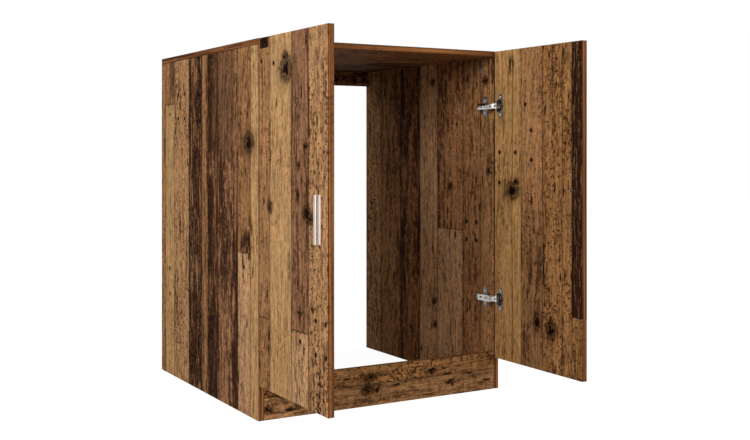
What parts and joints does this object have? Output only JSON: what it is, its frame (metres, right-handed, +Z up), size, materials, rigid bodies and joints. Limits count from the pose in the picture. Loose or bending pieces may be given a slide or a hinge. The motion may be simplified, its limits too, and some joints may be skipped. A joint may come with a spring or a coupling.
{
  "type": "washing machine cabinet",
  "caption": "Free-standing cabinet that closes round a washing machine: top, sides, plinth and rear rail in wood-look board, with two doors on concealed cup hinges and bar handles.",
  "frame": {"origin": "on the floor, in the middle of the cabinet's box as drawn, with both doors open at a right angle", "axes": "+Z up, the doors open towards -Y, +X to the right of someone who faces the back from the doors"},
  "size_m": [0.734, 1.0544, 0.915],
  "materials": {
    "board": "melamine-faced chipboard printed with reclaimed plank decor, matt",
    "nickel_steel": "nickel-plated pressed steel",
    "zinc_alloy": "zinc die casting and galvanised bolt",
    "aluminium": "brushed and anodised"
  },
  "bodies": {
    "carcass": {"top_panel": "board", "side_panel_left": "board", "side_panel_right": "board", "plinth_board": "board", "rear_top_rail": "board", "cam_lock_top_front_left": "zinc_alloy", "cam_lock_top_front_right": "zinc_alloy", "cam_lock_top_rear_left": "zinc_alloy", "cam_lock_top_rear_right": "zinc_alloy", "cam_lock_plinth_left": "zinc_alloy", "cam_lock_plinth_right": "zinc_alloy", "cam_lock_rail_left": "zinc_alloy", "cam_lock_rail_right": "zinc_alloy", "bottom_hinge_plate_left": "nickel_steel", "bottom_hinge_plate_right": "nickel_steel", "bottom_hinge_arm_left": "nickel_steel", "bottom_hinge_arm_right": "nickel_steel", "bottom_plate_screw_low_left": "nickel_steel", "bottom_plate_screw_low_right": "nickel_steel", "bottom_plate_screw_high_left": "nickel_steel", "bottom_plate_screw_high_right": "nickel_steel", "top_hinge_plate_left": "nickel_steel", "top_hinge_plate_right": "nickel_steel", "top_hinge_arm_left": "nickel_steel", "top_hinge_arm_right": "nickel_steel", "top_plate_screw_low_left": "nickel_steel", "top_plate_screw_low_right": "nickel_steel", "top_plate_screw_high_left": "nickel_steel", "top_plate_screw_high_right": "nickel_steel"},
    "door_left": {"door_left": "board", "handle_left": "aluminium", "handle_screw_lower_left": "nickel_steel", "handle_screw_upper_left": "nickel_steel", "bottom_hinge_cup_left": "nickel_steel", "bottom_cup_screw_low_left": "nickel_steel", "bottom_cup_screw_high_left": "nickel_steel", "top_hinge_cup_left": "nickel_steel", "top_cup_screw_low_left": "nickel_steel", "top_cup_screw_high_left": "nickel_steel"},
    "door_right": {"door_right": "board", "handle_right": "aluminium", "handle_screw_lower_right": "nickel_steel", "handle_screw_upper_right": "nickel_steel", "bottom_hinge_cup_right": "nickel_steel", "bottom_cup_screw_low_right": "nickel_steel", "bottom_cup_screw_high_right": "nickel_steel", "top_hinge_cup_right": "nickel_steel", "top_cup_screw_low_right": "nickel_steel", "top_cup_screw_high_right": "nickel_steel"},
    "bottom_hinge_inner_link_left": {"bottom_hinge_inner_link_left": "nickel_steel"},
    "bottom_hinge_inner_link_right": {"bottom_hinge_inner_link_right": "nickel_steel"},
    "bottom_hinge_outer_link_left": {"bottom_hinge_outer_link_left": "nickel_steel"},
    "bottom_hinge_outer_link_right": {"bottom_hinge_outer_link_right": "nickel_steel"},
    "top_hinge_inner_link_left": {"top_hinge_inner_link_left": "nickel_steel"},
    "top_hinge_inner_link_right": {"top_hinge_inner_link_right": "nickel_steel"},
    "top_hinge_outer_link_left": {"top_hinge_outer_link_left": "nickel_steel"},
    "top_hinge_outer_link_right": {"top_hinge_outer_link_right": "nickel_steel"}
  },
  "joints": [
    {"name": "door_left_hinge", "type": "hinge", "parent": "carcass", "child": "door_left", "pos_m": [-0.348, -0.18075, 0.4995], "axis": [0, 0, -1], "range_deg": [-90, 10]},
    {"name": "bottom_outer_link_left", "type": "hinge", "parent": "carcass", "child": "bottom_hinge_outer_link_left", "pos_m": [-0.3268, -0.17487, 0.245], "axis": [0, 0, -1], "range_deg": [-2.5, 22.5]},
    {"name": "bottom_inner_link_left", "type": "hinge", "parent": "carcass", "child": "bottom_hinge_inner_link_left", "pos_m": [-0.33322, -0.16184, 0.245], "axis": [0, 0, -1], "range_deg": [-4.5, 0.5]},
    {"name": "top_outer_link_left", "type": "hinge", "parent": "carcass", "child": "top_hinge_outer_link_left", "pos_m": [-0.3268, -0.17487, 0.766], "axis": [0, 0, -1], "range_deg": [-2.5, 22.5]},
    {"name": "top_inner_link_left", "type": "hinge", "parent": "carcass", "child": "top_hinge_inner_link_left", "pos_m": [-0.33322, -0.16184, 0.766], "axis": [0, 0, -1], "range_deg": [-4.5, 0.5]},
    {"name": "door_right_hinge", "type": "hinge", "parent": "carcass", "child": "door_right", "pos_m": [0.348, -0.18075, 0.4995], "axis": [0, 0, 1], "range_deg": [-90, 10]},
    {"name": "bottom_outer_link_right", "type": "hinge", "parent": "carcass", "child": "bottom_hinge_outer_link_right", "pos_m": [0.3268, -0.17487, 0.245], "axis": [0, 0, 1], "range_deg": [-2.5, 22.5]},
    {"name": "bottom_inner_link_right", "type": "hinge", "parent": "carcass", "child": "bottom_hinge_inner_link_right", "pos_m": [0.33322, -0.16184, 0.245], "axis": [0, 0, 1], "range_deg": [-4.5, 0.5]},
    {"name": "top_outer_link_right", "type": "hinge", "parent": "carcass", "child": "top_hinge_outer_link_right", "pos_m": [0.3268, -0.17487, 0.766], "axis": [0, 0, 1], "range_deg": [-2.5, 22.5]},
    {"name": "top_inner_link_right", "type": "hinge", "parent": "carcass", "child": "top_hinge_inner_link_right", "pos_m": [0.33322, -0.16184, 0.766], "axis": [0, 0, 1], "range_deg": [-4.5, 0.5]}
  ],
  "couplings": [
    {"joint": "bottom_outer_link_left", "follows": "door_left_hinge", "ratio": -0.25},
    {"joint": "bottom_inner_link_left", "follows": "door_left_hinge", "ratio": 0.05},
    {"joint": "top_outer_link_left", "follows": "door_left_hinge", "ratio": -0.25},
    {"joint": "top_inner_link_left", "follows": "door_left_hinge", "ratio": 0.05},
    {"joint": "bottom_outer_link_right", "follows": "door_right_hinge", "ratio": -0.25},
    {"joint": "bottom_inner_link_right", "follows": "door_right_hinge", "ratio": 0.05},
    {"joint": "top_outer_link_right", "follows": "door_right_hinge", "ratio": -0.25},
    {"joint": "top_inner_link_right", "follows": "door_right_hinge", "ratio": 0.05}
  ]
}
